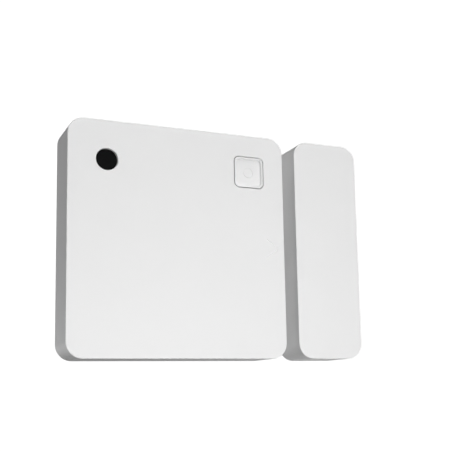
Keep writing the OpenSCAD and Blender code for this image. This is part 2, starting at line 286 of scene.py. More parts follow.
def surface(name, colour, roughness, mottle, mottle_mm, grain_mm, grain_um, metallic=0.0,
            uneven=0.08, stretch=(1, 1, 1), pores=False, **sockets):
    """Material whose colour and gloss vary slightly, with a fine grain or pores in the surface.

    mottle and uneven are how far the colour and the roughness stray, in patches mottle_mm across.
    grain_um is the depth of bumps grain_mm across, which stretch can draw out into brush marks.
    pores makes them the round pores of closed-cell foam.
    """
    made = bpy.data.materials.new(name)
    made.use_nodes = True
    tree = made.node_tree
    shader = tree.nodes["Principled BSDF"]
    where = add(tree, "TexCoord").outputs["Object"]
    patches = noise(tree, where, mottle_mm, 4.0)
    dark = [c * (1 - mottle) for c in colour]
    light = [min(1, c * (1 + mottle)) for c in colour]
    tree.links.new(ramp(tree, patches, dark, light), shader.inputs["Base Color"])
    gloss = add(tree, "MapRange", {"From Min": NOISE_SPAN[0], "From Max": NOISE_SPAN[1],
                                   "To Min": roughness * (1 - uneven),
                                   "To Max": roughness * (1 + uneven)})
    tree.links.new(noise(tree, where, mottle_mm * 0.4, 3.0), gloss.inputs["Value"])
    tree.links.new(gloss.outputs["Result"], shader.inputs["Roughness"])
    if pores:
        cells = add(tree, "TexVoronoi", {"Scale": 1 / (grain_mm * MM)})
        tree.links.new(where, cells.inputs["Vector"])
        height = cells.outputs["Distance"]
    else:
        scale = add(tree, "Mapping", {"Scale": stretch})
        tree.links.new(where, scale.inputs["Vector"])
        height = noise(tree, scale.outputs["Vector"], grain_mm, 2.0)
    bump = add(tree, "Bump", {"Strength": 1.0, "Distance": grain_um * 1e-6})
    tree.links.new(height, bump.inputs["Height"])
    tree.links.new(bump.outputs["Normal"], shader.inputs["Normal"])
    shader.inputs["Metallic"].default_value = metallic
    for key, value in sockets.items():
        shader.inputs[key.replace("_", " ")].default_value = value
    return made


# Settings of every material, as surface() takes them.
SURFACES = {
    "case_white": dict(colour=(0.86, 0.86, 0.86), roughness=0.46, mottle=0.006, mottle_mm=9,
        uneven=0.05, grain_mm=0.12, grain_um=1.6),
    "button_white": dict(colour=(0.86, 0.86, 0.86), roughness=0.44, mottle=0.006, mottle_mm=3,
        uneven=0.05, grain_mm=0.1, grain_um=1.4),
    "window_black": dict(colour=(0.005, 0.005, 0.0053), roughness=0.34, mottle=0.15,
        mottle_mm=1.5, grain_mm=0.2, grain_um=0.4, Specular_IOR_Level=0.08),
    "board_green": dict(colour=(0.014, 0.10, 0.045), roughness=0.34, mottle=0.06, mottle_mm=0.9,
        grain_mm=0.25, grain_um=3, Coat_Weight=0.4, Coat_Roughness=0.2),
    "board_track": dict(colour=(0.03, 0.17, 0.075), roughness=0.32, mottle=0.08, mottle_mm=0.6,
        grain_mm=0.2, grain_um=3, Coat_Weight=0.4, Coat_Roughness=0.2),
    "copper_tin": dict(colour=(0.83, 0.62, 0.28), roughness=0.28, metallic=1.0, mottle=0.08,
        mottle_mm=0.8, grain_mm=0.12, grain_um=3),
    "chip_black": dict(colour=(0.022, 0.022, 0.024), roughness=0.55, mottle=0.15, mottle_mm=0.7,
        grain_mm=0.06, grain_um=5),
    "crystal_steel": dict(colour=(0.72, 0.70, 0.66), roughness=0.25, metallic=1.0, mottle=0.04,
        mottle_mm=1, grain_mm=0.08, grain_um=1.5, stretch=(1, 1, 8)),
    "antenna_ceramic": dict(colour=(0.80, 0.76, 0.66), roughness=0.4, mottle=0.04, mottle_mm=0.6,
        grain_mm=0.06, grain_um=3),
    "passive_ceramic": dict(colour=(0.40, 0.27, 0.16), roughness=0.45, mottle=0.12, mottle_mm=0.4,
        grain_mm=0.05, grain_um=3),
    "led_resin": dict(colour=(0.86, 0.85, 0.78), roughness=0.3, mottle=0.03, mottle_mm=0.5,
        grain_mm=0.08, grain_um=1, Transmission_Weight=0.35),
    "sensor_resin": dict(colour=(0.55, 0.56, 0.58), roughness=0.15, mottle=0.05, mottle_mm=0.5,
        grain_mm=0.1, grain_um=0.6, Transmission_Weight=0.6),
    "switch_black": dict(colour=(0.03, 0.03, 0.032), roughness=0.5, mottle=0.1, mottle_mm=0.8,
        grain_mm=0.07, grain_um=3),
    "plunger_ivory": dict(colour=(0.78, 0.74, 0.62), roughness=0.4, mottle=0.03, mottle_mm=0.6,
        grain_mm=0.08, grain_um=2),
    "cradle_black": dict(colour=(0.028, 0.028, 0.03), roughness=0.48, mottle=0.1, mottle_mm=3,
        grain_mm=0.11, grain_um=5),
    "contact_metal": dict(colour=(0.84, 0.76, 0.56), roughness=0.33, metallic=1.0, mottle=0.05,
        mottle_mm=2, grain_mm=0.05, grain_um=1.2, stretch=(1, 1, 12)),
    "cell_steel": dict(colour=(0.74, 0.73, 0.71), roughness=0.36, metallic=1.0, mottle=0.02,
        mottle_mm=2, uneven=0.03, grain_mm=0.07, grain_um=1.4, stretch=(1, 1, 9)),
    "seal_plastic": dict(colour=(0.05, 0.05, 0.055), roughness=0.45, mottle=0.08, mottle_mm=1.2,
        grain_mm=0.08, grain_um=2),
    "cell_pellet": dict(colour=(0.07, 0.07, 0.075), roughness=0.8, mottle=0.2, mottle_mm=0.6,
        grain_mm=0.07, grain_um=12),
    "tube_glass": dict(colour=(0.75, 0.93, 0.78), roughness=0.04, mottle=0.02, mottle_mm=3,
        grain_mm=1.0, grain_um=0.5, Transmission_Weight=0.92, IOR=1.48),
    "reed_metal": dict(colour=(0.70, 0.66, 0.58), roughness=0.3, metallic=1.0, mottle=0.05,
        mottle_mm=1, grain_mm=0.04, grain_um=1.5, stretch=(1, 1, 0.1)),
    "solder": dict(colour=(0.72, 0.72, 0.72), roughness=0.22, metallic=1.0, mottle=0.06,
        mottle_mm=0.6, grain_mm=0.15, grain_um=3),
    "magnet_nickel": dict(colour=(0.66, 0.66, 0.67), roughness=0.32, metallic=1.0, mottle=0.04,
        mottle_mm=2.5, uneven=0.2, grain_mm=0.09, grain_um=2),
    "foam_tape": dict(colour=(0.62, 0.63, 0.64), roughness=0.85, mottle=0.05, mottle_mm=0.35,
        grain_mm=0.13, grain_um=25, pores=True),
}
LOOK = {name: surface(name, **row) for name, row in SURFACES.items()}


def add_piece(name, bm, slot, body, *nodes, look=None):
    """Turns a mesh in millimetres into a finished piece that rides on a body.

    Its material is named like its slot, unless look names another.
    """
    bmesh.ops.remove_doubles(bm, verts=bm.verts, dist=1e-4)
    bmesh.ops.scale(bm, vec=(MM, MM, MM), verts=bm.verts)
    bmesh.ops.recalc_face_normals(bm, faces=bm.faces)
    data = bpy.data.meshes.new(name)
    bm.to_mesh(data)
    bm.free()
    data.shade_smooth()
    data.set_sharp_from_angle(angle=math.radians(SHARP_DEG))
    data.materials.append(LOOK[look or slot])
    o = bpy.data.objects.new(name, data)
    bpy.context.scene.collection.objects.link(o)
    normals = o.modifiers.new("normals", "WEIGHTED_NORMAL")
    normals.keep_sharp = True
    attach(o, body)
    if nodes:
        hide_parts(*nodes)
    return o


# ---- Cases ------------------------------------------------------------------

FRONT_EDGE = 0.12
REAR_EDGE = 0.08
INNER_EDGE = 0.4
HOLE_EDGE = 0.09
PEGS = ((-15.6, 7), (15.4, -13.5), (7, 14.8), (-15, -14.8))
LATCH_W = 6


def case_tray(node):
    """Outer skin of a case: a tray with round edges that is open at the back."""
    w, h = size(node)
    outer = loft(rounded(w, h, CORNER_R), edges(REAR, FACE, REAR_EDGE, FRONT_EDGE), middle(node))
    mouth = [(-REAR_EDGE, REAR - PAST), (-REAR_EDGE, REAR), (0, REAR + REAR_EDGE)]
    floor = edges(REAR, CAVITY, 0, INNER_EDGE)[1:]
    hollow = rounded(w - 2 * WALL, h - 2 * WALL, CORNER_R - WALL, least=0.3, shrink=0.6)
    return combine(outer, loft(hollow, mouth + floor, middle(node)), "DIFFERENCE")


def corner_posts(node, radius):
    """Posts in the corners of a case that stop its rear cover."""
    edge_r, sunk = 0.12, 0.3
    w, h = size(node)
    cx, cz = middle(node)
    posts = [
        loft(disc(radius), edges(COVER, CAVITY + sunk, edge_r, 0),
             (cx + sx * (w / 2 - WALL), cz + sz * (h / 2 - WALL)))
        for sx, sz in CORNERS
    ]
    limit = loft(rounded(w - WALL, h - WALL, CORNER_R - WALL / 2),
                 [(0, COVER - PAST), (0, FACE)], (cx, cz))
    return combine(join(*posts), limit, "INTERSECT")


def board_peg(place):
    """Post under the board, its pin through the board, and the pin's melted head."""
    pin_r, post_r, edge_r, foot_r = 0.5, 1.1, 0.08, 1.35
    head = [(0.35, 0.4), (0.62, 0.37), (0.8, 0.28), (0.89, 0.14), (0.9, 0.0)]
    profile = [(r, BOARD_BACK - rise) for r, rise in head]
    profile += [(pin_r, BOARD_BACK), (pin_r, BOARD_FRONT), (post_r - edge_r, BOARD_FRONT)]
    profile += [(post_r, BOARD_FRONT + edge_r), (post_r, CAVITY - 0.2), (1.25, CAVITY - 0.04)]
    profile += [(foot_r, CAVITY + 0.2)]
    return lathe(profile, place, 32)


def side_frames(w, h):
    """(matrix, half length) of each cavity wall: x points outwards from the wall, z along it."""
    for k in range(4):
        turn = Matrix.Rotation(math.radians(90 * k), 4, "Y")
        yield turn @ Matrix.Translation(((w if k % 2 == 0 else h) / 2, 0, 0))


def latch_pockets(w, h):
    """Shallow pockets in the cavity walls for the rear cover's latches."""
    deep, proud, side = 0.3, 0.5, LATCH_W / 2 + 0.3
    low, high = COVER + 1.8, COVER + 2.8
    made = []
    for matrix in side_frames(w, h):
        pocket = soften(block((-proud, -high, -side), (deep, -low, side)), 0.06)
        pocket.transform(matrix)
        made.append(pocket)
    return made


def groove(path, width, depth, floor, end_taper=0.45):
    """Cutter for a round-bottomed groove along a path of (x, z) points in a face at depth floor."""
    bm = bmesh.new()
    rings = []
    profile = [(-1, -0.6), (-1, 0), (-0.8, 0.55), (-0.4, 0.92), (0, 1), (0.4, 0.92), (0.8, 0.55),
               (1, 0), (1, -0.6)]
    for i, point in enumerate(path):
        before, after = path[max(i - 1, 0)], path[min(i + 1, len(path) - 1)]
        along = Vector((after[0] - before[0], after[1] - before[1])).normalized()
        across = Vector((-along.y, along.x))
        taper = end_taper if i in (0, len(path) - 1) else 1
        rings.append([
            bm.verts.new((point[0] + across.x * u * taper * width / 2,
                          -(floor - v * depth * (taper if v > 0 else 1)),
                          point[1] + across.y * u * taper * width / 2))
            for u, v in profile
        ])
    return skin(bm, rings)


def mark_path(tip_x=17.6, tip_z=-0.35, length=2.06, rise=1.4, bend=0.4, half_steps=6):
    """Chevron with a round tip that points to the magnet unit, from its upper arm to its lower."""
    slope = math.atan2(rise, length)
    turn = math.pi / 2 - slope
    centre_x = tip_x - bend
    arm = length / math.cos(slope) - bend / 2
    turns = [turn * (1 - i / half_steps) for i in range(2 * half_steps + 1)]
    arc = [(centre_x + bend * math.cos(a), bend * math.sin(a)) for a in turns]
    out = Vector((-math.cos(slope), math.sin(slope)))
    upper = [(arc[0][0] + out.x * arm * t, arc[0][1] + out.y * arm * t) for t in (1, 0.96, 0.5)]
    lower = [(x, -z) for x, z in reversed(upper)]
    return [(x, z + tip_z) for x, z in upper + arc + lower]


def front_cutters():
    """Everything that is cut from the sensor's front shell."""
    window_r, opening, opening_r = 1.83, 5.59, 0.98
    notch_w, notch_h = 7, 0.75
    ejector_r, ejector_d = 1.5, 0.05
    flare = [(-HOLE_EDGE * (1 - math.cos(math.radians(a))),
              FACE - HOLE_EDGE * (1 - math.sin(math.radians(a)))) for a in (0, 30, 60, 90)]
    levels = [(0, CAVITY - PAST)] + flare + [(-HOLE_EDGE, FACE + PAST)]
    cutters = [
        loft(disc(window_r, 64), levels, middle("light_window")),
        loft(rounded(opening, opening, opening_r), levels, middle("button_cap")),
        groove(mark_path(), 0.23, 0.11, FACE),
    ]
    cutters += latch_pockets(CASE_W - 2 * WALL, CASE_H - 2 * WALL)
    notch = block((-notch_w / 2, -REAR - notch_h, CASE_H / 2 - WALL - 0.3),
                  (notch_w / 2, -REAR + PAST, CASE_H / 2 + PAST))
    cutters.append(soften(notch, 0.15, 3))
    for place in ((-8, -8), (9, -4), (-6, 10)):
        profile = [(ejector_r, CAVITY - PAST), (ejector_r, CAVITY + ejector_d)]
        cutters.append(lathe(profile, place, 40))
    return join(*cutters)


def build_front_shell():
    shell = case_tray("front_shell")
    inside = join(corner_posts("front_shell", radius=2), *[board_peg(p) for p in PEGS])
    shell = combine(shell, inside, "UNION")
    shell = combine(shell, front_cutters(), "DIFFERENCE")
    add_piece("front_shell_body", shell, "case_white", "sensor_head", "front_shell")


def build_button():
    """Cap with a soft square dish, an engraved ring, a retaining flange and a stem."""
    cap, cap_r, rim, top_r = 5.3, 0.86, 0.27, 0.08
    dish, wall, fillet = 0.5, 0.36, 0.7
    stem_r, flange_w, flange_t = 0.9, 6.8, 0.32
    ring_r, ring_w, ring_d = 0.85, 0.1, 0.09
    centre = middle("button_cap")
    back = depths("button_cap")[0]
    flange = CAVITY - 0.03
    levels = [(0, flange - 0.2)] + edges(flange, FACE, 0, top_r)[1:]
    levels += [(rim, FACE), (rim + 0.03, FACE - 0.02), (rim + 0.055, FACE - 0.07)]
    foot = rim + 0.08
    levels.append((foot, FACE - wall))
    for a in range(15, 91, 15):
        inset = foot + fillet * (1 - math.cos(math.radians(a)))
        levels.append((inset, FACE - wall - (dish - wall) * math.sin(math.radians(a))))
    body = loft(rounded(cap, cap, cap_r, least=0.3, shrink=0.55), levels, centre)
    plate = loft(rounded(flange_w, flange_w, 0.8),
                 edges(flange - flange_t, flange, 0.05, 0.05), centre)
    body = combine(body, plate, "UNION")
    stem = [(stem_r - 0.12, back), (stem_r, back + 0.12), (stem_r, flange - 0.1)]
    body = combine(body, lathe(stem, centre), "UNION")
    line = [(ring_r + ring_w * math.cos(a), FACE - dish + ring_d * math.sin(a))
            for a in full_turn(10)]
    body = combine(body, ring(line, centre), "DIFFERENCE")
    add_piece("button_cap_body", body, "button_white", "button", "button_cap")


def build_window():
    """Stepped round lens, held by its flange behind the front wall."""
    lens_r, flange_r = 1.77, 2.5
    back, front = depths("light_window")
    profile = [(flange_r - 0.08, back), (flange_r, back + 0.08), (flange_r, CAVITY - 0.02),
               (flange_r - 0.02, CAVITY), (lens_r, CAVITY), (lens_r, front - 0.06),
               (lens_r - 0.02, front - 0.02), (lens_r - 0.07, front)]
    add_piece("light_window_lens", lathe(profile, middle("light_window"), 72), "window_black",
              "sensor_head", "light_window")


def build_magnet_shell():
    """Magnet unit's tray with corner posts, and three ribs that hold the bar magnet."""
    play, rib_t, rib_edge, sunk = 0.1, 0.8, 0.1, 0.3
    lo, hi = box_mm("bar_magnet")
    cx = middle("magnet_shell")[0]
    half = size("magnet_shell")[0] / 2 - WALL + 0.2
    ribs = []
    for s in (-1, 1):
        z = s * (hi.z + play + rib_t / 2)
        ribs.append(block((cx - half, -CAVITY - sunk, z - rib_t / 2),
                          (cx + half, -CAVITY + 3.1, z + rib_t / 2)))
    x = hi.x + play
    ribs.append(block((x, -CAVITY - sunk - 0.05, lo.z - 0.2),
                      (x + rib_t, -CAVITY + 3.05, hi.z + 0.2)))
    shell = combine(case_tray("magnet_shell"), corner_posts("magnet_shell", radius=1), "UNION")
    for rib in ribs:
        shell = combine(shell, soften(rib, rib_edge), "UNION")
    add_piece("magnet_shell_body", shell, "case_white", "magnet_unit", "magnet_shell")


# ---- Rear covers and pads ---------------------------------------------------

def latch(matrix):
    """Springy latch with a barb, standing on the rear cover. x = 0 is the cavity's wall."""
    sunk, back, face, barb = 0.05, -0.9, -0.2, -0.05
    points = [(back - 0.25, -sunk), (face, -sunk), (face, 1.9), (barb, 2.0), (barb, 2.2),
              (face, 2.7), (back + 0.1, 2.7), (back, 2.6), (back, 0.3), (back - 0.08, 0.1)]
    made = extrude(points, -LATCH_W / 2, LATCH_W / 2, lambda u, v, t: (u, -COVER - v, t))
    soften(made, 0.04)
    made.transform(matrix)
    return made


def cover_plate(node):
    """Plate of a rear cover, which fits into its case with a small gap."""
    gap, back_edge, front_edge = 0.1, 0.15, 0.1
    w, h = size(node)
    return loft(rounded(w, h, CORNER_R - WALL - gap),
                edges(depths(node)[0], COVER, back_edge, front_edge), middle(node))


def build_rear_cover():
    """Rear cover with four latches, ejector marks and a shallow cell dish."""
    ejector_r, ejector_d = 1.4, 0.05
    dish_r, dish_d = 7.2, 0.08
    marks = [lathe([(ejector_r, COVER - ejector_d), (ejector_r, COVER + PAST)], place, 40)
             for place in ((13, 12), (-14, 13), (12.5, -14), (-15, -12.5))]
    dish = [(dish_r, COVER - dish_d), (dish_r + 0.3, COVER + 0.2)]
    marks.append(lathe(dish, middle("cell_can"), 96))
    plate = combine(cover_plate("rear_cover"), join(*marks), "DIFFERENCE")
    latches = [latch(m) for m in side_frames(CASE_W - 2 * WALL, CASE_H - 2 * WALL)]
    plate = combine(plate, join(*latches), "UNION")
    add_piece("rear_cover_body", plate, "case_white", "sensor_base", "rear_cover")


def build_magnet_rear_cover():
    """Magnet unit's rear cover, with two ribs that press the magnet forwards."""
    rib_t, inset, sunk = 0.8, 0.5, 0.2
    plate = cover_plate("magnet_rear_cover")
    lo, hi = box_mm("bar_magnet")
    for s in (-1, 1):
        z = s * (hi.z - lo.z) / 4
        rib = block((lo.x + inset, hi.y, z - rib_t / 2),
                    (hi.x - inset, -COVER + sunk, z + rib_t / 2))
        plate = combine(plate, soften(rib, 0.08), "UNION")
    add_piece("magnet_rear_cover_body", plate, "case_white", "magnet_unit", "magnet_rear_cover")


def build_pad(node, corner, body, steps=8):
    """Foam tape whose cut sides bulge slightly between its two faces."""
    bulge, least, edge_w, edge_d = 0.16, 0.03, 0.05, 0.04
    w, h = size(node)
    back, front = depths(node)
    levels = []
    for i in range(steps + 1):
        t = i / steps
        levels.append((bulge * (2 * t - 1) ** 2 + least, back + (front - back) * t))
    end = bulge + least
    levels[0] = (end, back + edge_d)
    levels[-1] = (end, front - edge_d)
    levels = [(end + edge_w, back)] + levels + [(end + edge_w, front)]
    made = add_piece(node + "_foam", loft(rounded(w, h, corner), levels, middle(node)),
                     "foam_tape", body, node)


# ---- Circuit board ----------------------------------------------------------

def build_board():
    """Board with its corner notches and peg holes, and a slot for the reed switch."""
    corner, edge_r, notch_r, hole_r = 1, 0.04, 2.4, 0.6
    glass_slot, lead_slot = 2.4, 0.5
    through = [(0, BOARD_BACK - PAST), (0, BOARD_FRONT + PAST)]
    plate = loft(rounded(*size("circuit_board"), corner),
                 edges(BOARD_BACK, BOARD_FRONT, edge_r, edge_r), middle("circuit_board"))
    cuts = [loft(disc(notch_r), through, (sx * (CASE_W / 2 - WALL), sz * (CASE_H / 2 - WALL)))
            for sx, sz in CORNERS]
    cuts += [loft(disc(hole_r, 32), through, p) for p in PEGS]
    plate = combine(plate, join(*cuts), "DIFFERENCE")
    reed = (middle("reed_leads")[0], 0)
    glass_h, lead_h = size("reed_glass")[1] + 2.6, size("reed_leads")[1] + 0.1
    slot = combine(loft(rounded(glass_slot, glass_h, 0.3), through, reed),
                   loft(rounded(lead_slot, lead_h, 0.2), through, reed), "UNION")
    plate = combine(plate, slot, "DIFFERENCE")
    add_piece("circuit_board_plate", plate, "board_green", "sensor_head", "circuit_board")


def strip(points, width, back, front):
    """Flat track along (x, z) points between two depths."""
    left, right = [], []
    for i, p in enumerate(points):
        a, b = points[max(i - 1, 0)], points[min(i + 1, len(points) - 1)]
        along = Vector((b[0] - a[0], b[1] - a[1])).normalized() * width / 2
        left.append((p[0] - along.y, p[1] + along.x))
        right.append((p[0] + along.y, p[1] - along.x))
    return extrude(left + right[::-1], back, front, lambda u, v, t: (u, -t, v))


def end_lands(node):
    """Tinned lands under the two ends of each solid of a node."""
    half, side, proud, sunk = 0.19, 0.06, 0.03, 0.02
    made = []
    for lo, hi in solid_boxes(node):
        axis, across = (0, 2) if hi.x - lo.x > hi.z - lo.z else (2, 0)
        for end in (lo, hi):
            a, b = [0, -BOARD_FRONT - proud, 0], [0, -BOARD_FRONT + sunk, 0]
            a[axis], b[axis] = end[axis] - half, end[axis] + half
            a[across], b[across] = lo[across] - side, hi[across] + side
            made.append(soften(block(a, b), 0.01, 1))
    return made


def build_copper():
    """Lands, and the tracks that join them, which stand slightly proud of the board."""
    proud, sunk, wide, fine = 0.02, 0.05, 0.2, 0.16
    back = (BOARD_BACK - proud, BOARD_BACK + sunk)
    front = (BOARD_FRONT - sunk, BOARD_FRONT + proud)
    lands = end_lands("passive_parts") + end_lands("crystals") + end_lands("chip_antenna")
    # One land under the negative contact, one under the positive contact's foot, and test pads.
    negative, positive, test_r = rounded(12.6, 4.6, 1), rounded(2.2, 6.4, 0.3), 0.36
    foot = box_mm("positive_contact")[1].x - 0.6
    lands.append(loft(negative, [(0, BOARD_BACK - 0.005), (0, BOARD_BACK + sunk)], CELL))
    lands.append(loft(positive, [(0, d) for d in back], (foot, CELL[1])))
    for x in (-16.2, -14.9, -13.6):
        for z in (-2, -0.6, 0.8):
            lands.append(lathe([(test_r, d) for d in back], (x, z), 24))
    add_piece("circuit_board_lands", join(*lands), "contact_metal", "sensor_head",
              look="copper_tin")
    # Four bundles of five: above the cell, above the test pads, and on each side of the chip.
    tracks = []
    for i in range(5):
        x, edge_x = -9 + 1.1 * i, -16.2 + 0.8 * i
        tracks.append(strip([(x, 9.5), (x, 12 + 0.4 * i), (x + 3, 15)], wide, *back))
        tracks.append(strip([(edge_x, 2), (edge_x, 5.2)], wide, *back))
        tracks.append(strip([(-9, 6 - i), (-4, 6 - i), (-3, 5 - 0.5 * i)], fine, *front))
        z = 5.5 - 0.5 * i
        tracks.append(strip([(3, z), (8, z), (10, 3 - 0.8 * i)], fine, *front))
    add_piece("circuit_board_tracks", join(*tracks), "board_green", "sensor_head",
              look="board_track")


# ---- Small parts ------------------------------------------------------------

def chip_body(lo, hi, mark_r, edge=0.05, mark_depth=0.04):
    """Moulded chip with soft edges and a round dimple at its first pin."""
    in_from_corner = (hi[0] - lo[0]) * 0.18
    dimple = lathe([(mark_r, -lo[1] - mark_depth), (mark_r, -lo[1] + PAST)],
                   (lo[0] + in_from_corner, hi[2] - in_from_corner), 24)
    return combine(soften(block(lo, hi), edge), dimple, "DIFFERENCE")


def build_chips():
    """Radio chip with solder at its edge pins, and the tilt sensor."""
    lo, hi = box_mm("radio_chip")
    body = chip_body(lo, hi, mark_r=0.25)
    add_piece("radio_chip_body", body, "chip_black", "sensor_head", "radio_chip")
    cx, cz = middle("radio_chip")
    per_side, pitch, out, long, short, pin_h = 8, 0.5, 2.49, 0.12, 0.03, 0.2
    pins = []
    for k in range(per_side):
        t = pitch * (k - (per_side - 1) / 2)
        for s in (-1, 1):
            for x, z, half_x, half_z in ((cx + s * out, cz + t, short, long),
                                         (cx + t, cz + s * out, long, short)):
                pins.append(soften(block((x - half_x, hi.y - pin_h, z - half_z),
                                         (x + half_x, hi.y, z + half_z)), 0.01, 1))
    add_piece("radio_chip_pins", join(*pins), "contact_metal", "sensor_head", look="solder")
    lo, hi = box_mm("tilt_sensor")
    body = chip_body(lo, hi, mark_r=0.12)
    add_piece("tilt_sensor_body", body, "chip_black", "sensor_head", "tilt_sensor")


def build_crystals():
    """Ceramic tubs with welded metal lids."""
    tub_edge, lid_step, lid_t, lid_foot, lid_edge = 0.05, 0.12, 0.3, 0.04, 0.08
    parts = []
    for lo, hi in solid_boxes("crystals"):
        seam = -lo.y - lid_t
        tub = edges(-hi.y, seam, 0, tub_edge)
        lid = [(lid_step + inset, depth)
               for inset, depth in edges(seam, -lo.y, lid_foot, lid_edge)]
        outline = rounded(hi.x - lo.x, hi.z - lo.z, 0.12, least=0.08, shrink=0.3)
        parts.append(loft(outline, tub + lid, ((lo.x + hi.x) / 2, (lo.z + hi.z) / 2)))
    add_piece("crystals_cans", join(*parts), "crystal_steel", "sensor_head", "crystals")


def build_two_ended(node, slot, cap):
    """Ceramic parts with a metal cap at each end, as pieces named after their node."""
    inset, body_edge, cap_edge = 0.015, 0.02, 0.03
    bodies, caps = [], []
    for lo, hi in solid_boxes(node):
        axis, across = (0, 2) if hi.x - lo.x > hi.z - lo.z else (2, 0)
        end = min(cap, (hi[axis] - lo[axis]) * 0.25)
        a, b = lo.copy(), hi.copy()
        a[axis] += end / 2
        b[axis] -= end / 2
        a[across] += inset
        b[across] -= inset
        a.y += inset
        bodies.append(soften(block(a, b), body_edge, 1))
        a, b = lo.copy(), hi.copy()
        b[axis] = lo[axis] + end
        a[axis] = hi[axis] - end
        caps.append(soften(block(lo, b), cap_edge))
        caps.append(soften(block(a, hi), cap_edge))
    add_piece(node + "_bodies", join(*bodies), slot, "sensor_head", node)
    add_piece(node + "_caps", join(*caps), "contact_metal", "sensor_head", look="solder")


def build_led_and_sensor():
    """Status LED with a raised resin window, and the light sensor with its round eye."""
    base_t, dome_step, eye_r, eye_depth = 0.25, 0.3, 0.45, 0.06
    lo, hi = box_mm("status_led")
    base = soften(block((lo.x, hi.y - base_t, lo.z), hi), 0.02, 1)
    dome = block((lo.x + dome_step, lo.y, lo.z), (hi.x - dome_step, hi.y - 0.2, hi.z))
    led = combine(base, soften(dome, 0.1, 3), "UNION")
    add_piece("status_led_resin", led, "led_resin", "sensor_head", "status_led")
    lo, hi = box_mm("light_sensor")
    eye = [(eye_r, -lo.y - eye_depth), (eye_r + 0.05, -lo.y + 0.2)]
    eye = lathe(eye, middle("light_sensor"), 32)
    body = combine(soften(block(lo, hi), 0.06), eye, "DIFFERENCE")
    add_piece("light_sensor_resin", body, "sensor_resin", "sensor_head", "light_sensor")


def build_tact_switch():
    """Switch housing with a riveted metal top plate, and its plunger."""
    hole_r, plunger_r, plate_t, plate_inset, rivet_r, rivet_out = 0.96, 0.9, 0.1, 0.12, 0.2, 1.4
    node = "tact_switch_housing"
    lo, hi = box_mm(node)
    cx, cz = middle(node)
    well = [(0, BOARD_FRONT - PAST), (0, FACE)]
    housing = soften(block((lo.x, lo.y + plate_t, lo.z), hi), 0.08)
    housing = combine(housing, loft(disc(hole_r), well, (cx, cz)), "DIFFERENCE")
    add_piece("tact_switch_base", housing, "switch_black", "sensor_head", node)
    top = block((lo.x + plate_inset, lo.y, lo.z + plate_inset),
                (hi.x - plate_inset, lo.y + plate_t + 0.01, hi.z - plate_inset))
    top = combine(soften(top, 0.03), loft(disc(hole_r), well, (cx, cz)), "DIFFERENCE")
    rivet = [(rivet_r, -lo.y - 0.05), (rivet_r, -lo.y - 0.01), (rivet_r - 0.06, -lo.y)]
    rivets = [lathe(rivet, (cx + sx * rivet_out, cz + sz * rivet_out), 20) for sx, sz in CORNERS]
    add_piece("tact_switch_top", join(top, *rivets), "contact_metal", "sensor_head",
              look="crystal_steel")
    back, front = depths("tact_switch_plunger")
    profile = [(plunger_r - 0.04, back), (plunger_r, back + 0.04), (plunger_r, front - 0.1),
               (plunger_r - 0.03, front - 0.03), (plunger_r - 0.1, front)]
    add_piece("tact_switch_plunger_pin", lathe(profile, middle("tact_switch_plunger")),
              "plunger_ivory", "button", "tact_switch_plunger")


# ---- Power ------------------------------------------------------------------

CELL_R = size("cell_can")[0] / 2
CELL_BACK = depths("cell_can")[0]
CELL = middle("cell_can")
CELL_STEPS = 128
CAN_T = 0.25
SHELF_T = 0.35


def cradle_outline(out_r, in_r, arm, steps=64):
    """U-shaped outline round the cell, open upwards, as (x, z) points from the cell's middle."""
    turns = [math.pi + math.pi * i / steps for i in range(steps + 1)]
    outer = [(out_r * math.cos(a), out_r * math.sin(a)) for a in turns]
    inner = [(in_r * math.cos(a), in_r * math.sin(a)) for a in reversed(turns)]
    return [(-out_r, arm)] + outer + [(out_r, arm), (in_r, arm)] + inner + [(-in_r, arm)]


def build_cradle():
    """Low base flange and guide wall, with a gap for the positive contact."""
    def place(u, v, t):
        return (CELL[0] + u, -t, CELL[1] + v)

    play, flange_w, wall_t, arm, gap_h, sunk = 0.15, 1.35, 1.05, 4.5, 3.2, 0.1
    in_r = CELL_R + play
    shelf = BOARD_BACK - SHELF_T
    wall_back = depths("battery_cradle")[0]
    base = extrude(cradle_outline(in_r + flange_w, in_r, arm), shelf, BOARD_BACK, place)
    # The wall stays a hair off the base's inner faces, so that no two faces lie on each other.
    wall = extrude(cradle_outline(in_r + wall_t, in_r + 0.001, arm - 0.001), wall_back,
                   shelf + sunk, place)
    gap = block((CELL[0] + CELL_R * 0.75, -shelf - 0.001, CELL[1] - gap_h),
                (CELL[0] + CELL_R * 1.25, -wall_back + PAST, CELL[1] + gap_h))
    cradle = combine(base, combine(wall, gap, "DIFFERENCE"), "UNION")
    soften(cradle, 0.07, 2, 40)
    add_piece("battery_cradle_frame", cradle, "cradle_black", "sensor_head", "battery_cradle")


def build_positive_contact():
    """Bent strip with a lip on the cell's rim and a soldered foot."""
    t, lip_t, lip, foot_l, width, bend = 0.2, 0.15, 1.2, 0.6, 5, 0.06
    shelf = BOARD_BACK - SHELF_T - t
    top = CELL_BACK - lip_t
    r, foot = CELL_R, CELL_R + 2
    points = [(r - lip, CELL_BACK), (r - lip, top), (r + t - 0.08, top), (r + t, top + 0.08),
              (r + t, shelf), (foot - bend, shelf), (foot, shelf + bend),
              (foot, BOARD_BACK - lip_t), (foot + foot_l, BOARD_BACK - lip_t),
              (foot + foot_l, BOARD_BACK),
              (foot - t, BOARD_BACK), (foot - t, shelf + t), (r + bend, shelf + t),
              (r, shelf + t - bend), (r, CELL_BACK)]
    contact = extrude(points, -width / 2, width / 2,
                      lambda u, v, z: (CELL[0] + u, -v, CELL[1] + z))
    soften(contact, 0.03, 2, 25)
    add_piece("positive_contact_strip", contact, "contact_metal", "sensor_head", "positive_contact")


